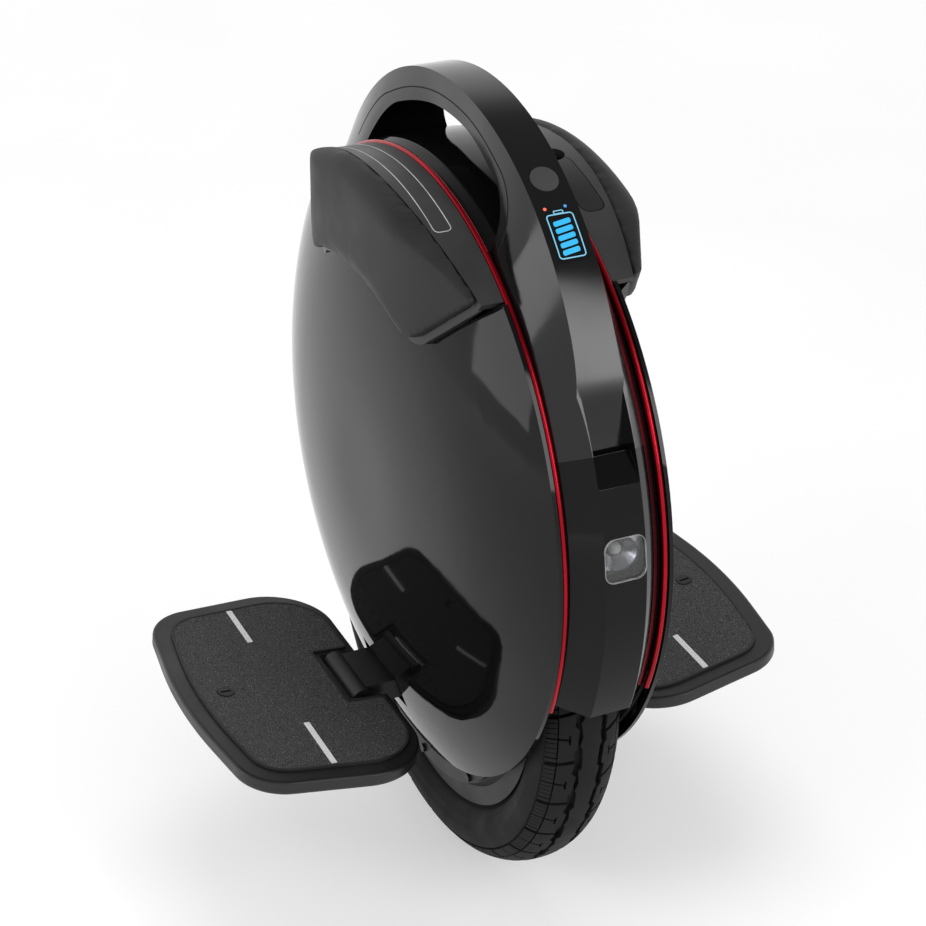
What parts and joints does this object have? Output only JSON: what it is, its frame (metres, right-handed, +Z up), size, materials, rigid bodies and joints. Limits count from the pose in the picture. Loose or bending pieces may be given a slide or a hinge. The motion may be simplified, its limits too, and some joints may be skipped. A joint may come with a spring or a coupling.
{
  "type": "electric unicycle",
  "caption": "Self-balancing electric unicycle with gloss domed sides, red trim rings, carry arch, leg pads and folding pedals",
  "frame": {"origin": "on the ground under the wheel axle, at the middle of the footprint", "axes": "+X is forward, the headlight side; +Y is the rider's left; +Z is up"},
  "size_m": [0.486, 0.4466, 0.6044],
  "materials": {
    "tyre_rubber": "matte",
    "rubber_black": "matte",
    "gloss_black": "gloss",
    "satin_black": "satin",
    "pad_skin": "matte",
    "trim_red": "gloss",
    "aluminium": "satin",
    "black_metal": "satin",
    "grit_sheet": "rough",
    "steel": "satin",
    "lamination": "matte",
    "copper": "satin",
    "lens_clear": "gloss",
    "lens_red": "gloss",
    "mirror_bowl": "gloss",
    "screen": "gloss",
    "board_green": "matte",
    "cell_wrap": "matte"
  },
  "bodies": {
    "chassis": {"axle": "steel", "axle_nuts": "steel", "battery_pack_left": "cell_wrap", "battery_pack_right": "cell_wrap", "charge_port": "satin_black", "chassis_left": "satin_black", "chassis_right": "satin_black", "control_board": "board_green", "display_panel": "screen", "front_fascia": "gloss_black", "handle_cover": "gloss_black", "handle_grip": "satin_black", "hanger_bolts": "steel", "headlight_board": "board_green", "headlight_lens": "lens_clear", "headlight_reflector": "mirror_bowl", "heat_sink": "aluminium", "leg_pad_left": "pad_skin", "leg_pad_right": "pad_skin", "motor_cable": "rubber_black", "pad_cover_left": "satin_black", "pad_cover_right": "satin_black", "pedal_hanger_left": "black_metal", "pedal_hanger_right": "black_metal", "pedal_pin_left": "steel", "pedal_pin_right": "steel", "rear_fascia": "gloss_black", "saddle": "gloss_black", "side_panel_left": "gloss_black", "side_panel_right": "gloss_black", "speaker": "satin_black", "stator": "lamination", "stator_windings": "copper", "tail_light_lens": "lens_red", "trim_left": "trim_red", "trim_right": "trim_red", "trolley_outer_tube": "aluminium", "wheel_arch": "satin_black"},
    "wheel": {"tyre": "tyre_rubber", "inner_tube": "rubber_black", "rim": "aluminium", "magnet_ring": "steel", "motor_cover_left": "aluminium", "motor_cover_right": "aluminium", "motor_cover_screws": "steel", "bearing_left": "steel", "bearing_right": "steel", "valve_stem": "rubber_black"},
    "left_pedal": {"pedal_plate_left": "black_metal", "pedal_grip_sheet_left": "grit_sheet", "pedal_magnet_left": "steel"},
    "right_pedal": {"pedal_plate_right": "black_metal", "pedal_grip_sheet_right": "grit_sheet", "pedal_magnet_right": "steel"},
    "power_key": {"power_button": "satin_black"},
    "lift_key": {"lift_switch": "satin_black"},
    "charge_cap": {"charge_port_cap": "rubber_black"},
    "trolley_stage": {"trolley_mid_tube": "aluminium"},
    "trolley_top": {"trolley_rod": "aluminium", "trolley_grip": "satin_black"}
  },
  "joints": [
    {"name": "wheel_spin", "type": "hinge", "parent": "chassis", "child": "wheel", "pos_m": [0, 0, 0.206], "axis": [0, 1, 0], "continuous": true},
    {"name": "left_pedal_fold", "type": "hinge", "parent": "chassis", "child": "left_pedal", "pos_m": [0, 0.0935, 0.148], "axis": [1, 0, 0], "range_deg": [0, 84]},
    {"name": "right_pedal_fold", "type": "hinge", "parent": "chassis", "child": "right_pedal", "pos_m": [0, -0.0935, 0.148], "axis": [-1, 0, 0], "range_deg": [0, 84]},
    {"name": "power_button_press", "type": "slide", "parent": "chassis", "child": "power_key", "axis": [-0.521, 0, -0.8536], "range_m": [0, 0.0012], "stiffness_N_per_m": 800},
    {"name": "lift_switch_press", "type": "slide", "parent": "chassis", "child": "lift_key", "axis": [0, 0, 1], "range_m": [0, 0.0015], "stiffness_N_per_m": 800},
    {"name": "charge_cap_swing", "type": "hinge", "parent": "chassis", "child": "charge_cap", "pos_m": [-0.2432, 0, 0.3076], "axis": [0, -1, 0], "range_deg": [0, 110]},
    {"name": "trolley_stage_slide", "type": "slide", "parent": "chassis", "child": "trolley_stage", "axis": [0, 0, 1], "range_m": [0, 0.19]},
    {"name": "trolley_top_slide", "type": "slide", "parent": "trolley_stage", "child": "trolley_top", "axis": [0, 0, 1], "range_m": [0, 0.19]}
  ]
}
